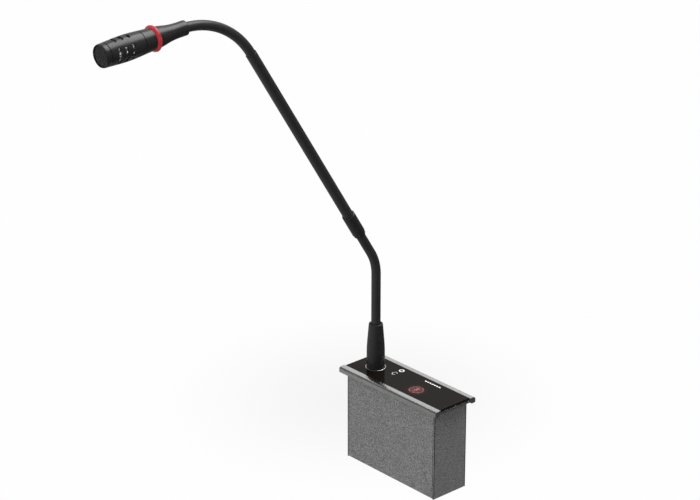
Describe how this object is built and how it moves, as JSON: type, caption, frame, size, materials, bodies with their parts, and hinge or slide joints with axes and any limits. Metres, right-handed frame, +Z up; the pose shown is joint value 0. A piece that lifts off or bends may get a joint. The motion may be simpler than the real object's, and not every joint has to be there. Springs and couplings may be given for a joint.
{
  "type": "gooseneck desktop microphone",
  "caption": "Table-insert discussion microphone: slim housing with glass top panel and talk key, plug-in flexible neck with a rigid middle tube, and a slotted round head with a red light ring.",
  "frame": {"origin": "centre of the housing's flat bottom face", "axes": "+Z up out of the table, +X along the long side of the housing towards the talk key, -Y towards the speaker, where the head points"},
  "size_m": [0.1126, 0.2829, 0.4136],
  "materials": {
    "housing_coat": "matte",
    "frame_metal": "satin",
    "panel_glass": "gloss",
    "trim_chrome": "polished",
    "black_anodised": "satin",
    "black_enamel": "satin",
    "neck_rubber": "satin",
    "ring_red": "gloss",
    "key_red": "gloss",
    "mark_white": "gloss",
    "board_green": "satin",
    "inner_plastic": "matte",
    "holder_rubber": "matte",
    "pin_brass": "satin",
    "plain_steel": "satin",
    "grille_mesh": "satin",
    "screen_mesh": "satin",
    "capsule_metal": "satin"
  },
  "bodies": {
    "base": {"housing_shell": "housing_coat", "end_plate_right": "housing_coat", "end_plate_left": "housing_coat", "pillar_1": "plain_steel", "pillar_2": "plain_steel", "pillar_3": "plain_steel", "pillar_4": "plain_steel", "bottom_screw_1": "plain_steel", "bottom_screw_2": "plain_steel", "bottom_screw_3": "plain_steel", "bottom_screw_4": "plain_steel", "top_frame": "frame_metal", "glass_panel": "panel_glass", "power_mark": "mark_white", "status_mark": "mark_white", "switch_body": "inner_plastic", "key_lamp": "mark_white", "key_board": "board_green", "main_board": "board_green", "board_link": "inner_plastic", "link_jack_1": "inner_plastic", "link_jack_2": "inner_plastic", "socket_shell": "black_enamel", "socket_insert": "inner_plastic", "trim_ring": "trim_chrome"},
    "key": {"talk_button": "key_red", "switch_plunger": "inner_plastic"},
    "stem": {"plug_barrel": "plain_steel", "plug_insert": "inner_plastic", "plug_pin_1": "pin_brass", "plug_pin_2": "pin_brass", "plug_pin_3": "pin_brass", "lower_flex_1": "neck_rubber"},
    "lock_sleeve": {"lock_sleeve": "black_anodised"},
    "lower_flex_2": {"lower_flex_2": "neck_rubber"},
    "lower_flex_3": {"lower_flex_3": "neck_rubber"},
    "lower_flex_4": {"lower_flex_4": "neck_rubber"},
    "lower_flex_5": {"lower_flex_5": "neck_rubber"},
    "arm": {"lower_flex_6": "neck_rubber", "joint_collar": "black_anodised", "rigid_tube": "black_enamel", "upper_flex_1": "neck_rubber"},
    "upper_flex_2": {"upper_flex_2": "neck_rubber"},
    "upper_flex_3": {"upper_flex_3": "neck_rubber"},
    "upper_flex_4": {"upper_flex_4": "neck_rubber"},
    "upper_flex_5": {"upper_flex_5": "neck_rubber"},
    "head": {"upper_flex_6": "neck_rubber", "head_sleeve": "black_anodised", "light_ring": "ring_red", "ring_light_board": "board_green", "head_collar": "black_anodised", "capsule_housing": "black_anodised", "slot_screen": "screen_mesh", "front_cap": "black_anodised", "front_grille": "grille_mesh", "capsule_holder": "holder_rubber", "capsule": "capsule_metal", "capsule_lead": "holder_rubber"}
  },
  "joints": [
    {"name": "talk_press", "type": "slide", "parent": "base", "child": "key", "axis": [0, 0, 1], "range_m": [-0.0006, 0], "stiffness_N_per_m": 400, "springref_m": 0.0005},
    {"name": "stem_release", "type": "slide", "parent": "base", "child": "stem", "axis": [0, 0, 1], "range_m": [0, 0.025]},
    {"name": "sleeve_turn", "type": "hinge", "parent": "stem", "child": "lock_sleeve", "pos_m": [-0.0364, 0, 0.1], "axis": [0, 0, 1], "continuous": true},
    {"name": "neck_pitch", "type": "hinge", "parent": "stem", "child": "lower_flex_2", "pos_m": [-0.0364, 0, 0.12796], "axis": [1, 0, 0], "range_deg": [-20, 20], "stiffness_Nm_per_rad": 0.5, "springref_deg": -9.6},
    {"name": "neck_side", "type": "hinge", "parent": "lower_flex_2", "child": "lower_flex_3", "pos_m": [-0.0364, 0, 0.14529], "axis": [0, 1, 0], "range_deg": [-22, 22], "stiffness_Nm_per_rad": 0.5},
    {"name": "neck_pitch_2", "type": "hinge", "parent": "lower_flex_3", "child": "lower_flex_4", "pos_m": [-0.0364, 0, 0.16262], "axis": [1, 0, 0], "range_deg": [-20, 20], "stiffness_Nm_per_rad": 0.5, "springref_deg": -9.6},
    {"name": "neck_side_2", "type": "hinge", "parent": "lower_flex_4", "child": "lower_flex_5", "pos_m": [-0.0364, -0.00411, 0.17929], "axis": [0, 0.8918, 0.4524], "range_deg": [-22, 22], "stiffness_Nm_per_rad": 0.5},
    {"name": "neck_pitch_3", "type": "hinge", "parent": "lower_flex_5", "child": "arm", "pos_m": [-0.0364, -0.01316, 0.19406], "axis": [1, 0, 0], "range_deg": [-20, 20], "stiffness_Nm_per_rad": 0.5, "springref_deg": -8.72},
    {"name": "head_pitch", "type": "hinge", "parent": "arm", "child": "upper_flex_2", "pos_m": [-0.0364, -0.12937, 0.37935], "axis": [1, 0, 0], "range_deg": [-20, 20], "stiffness_Nm_per_rad": 0.2, "springref_deg": -7.57},
    {"name": "head_side", "type": "hinge", "parent": "upper_flex_2", "child": "upper_flex_3", "pos_m": [-0.0364, -0.13912, 0.38953], "axis": [0, 0.6472, 0.7623], "range_deg": [-22, 22], "stiffness_Nm_per_rad": 0.2},
    {"name": "head_pitch_2", "type": "hinge", "parent": "upper_flex_3", "child": "upper_flex_4", "pos_m": [-0.0364, -0.15075, 0.3975], "axis": [1, 0, 0], "range_deg": [-20, 20], "stiffness_Nm_per_rad": 0.2, "springref_deg": -5.85},
    {"name": "head_side_2", "type": "hinge", "parent": "upper_flex_4", "child": "upper_flex_5", "pos_m": [-0.0364, -0.16376, 0.40294], "axis": [0, 0.2885, 0.9575], "range_deg": [-22, 22], "stiffness_Nm_per_rad": 0.2},
    {"name": "head_pitch_3", "type": "hinge", "parent": "upper_flex_5", "child": "head", "pos_m": [-0.0364, -0.17761, 0.4056], "axis": [1, 0, 0], "range_deg": [-20, 20], "stiffness_Nm_per_rad": 0.2, "springref_deg": -3.79}
  ],
  "couplings": [
    {"joint": "neck_pitch_2", "follows": "neck_pitch", "ratio": 1},
    {"joint": "neck_pitch_3", "follows": "neck_pitch", "ratio": 1},
    {"joint": "neck_side_2", "follows": "neck_side", "ratio": 1},
    {"joint": "head_pitch_2", "follows": "head_pitch", "ratio": 1},
    {"joint": "head_pitch_3", "follows": "head_pitch", "ratio": 1},
    {"joint": "head_side_2", "follows": "head_side", "ratio": 1}
  ]
}
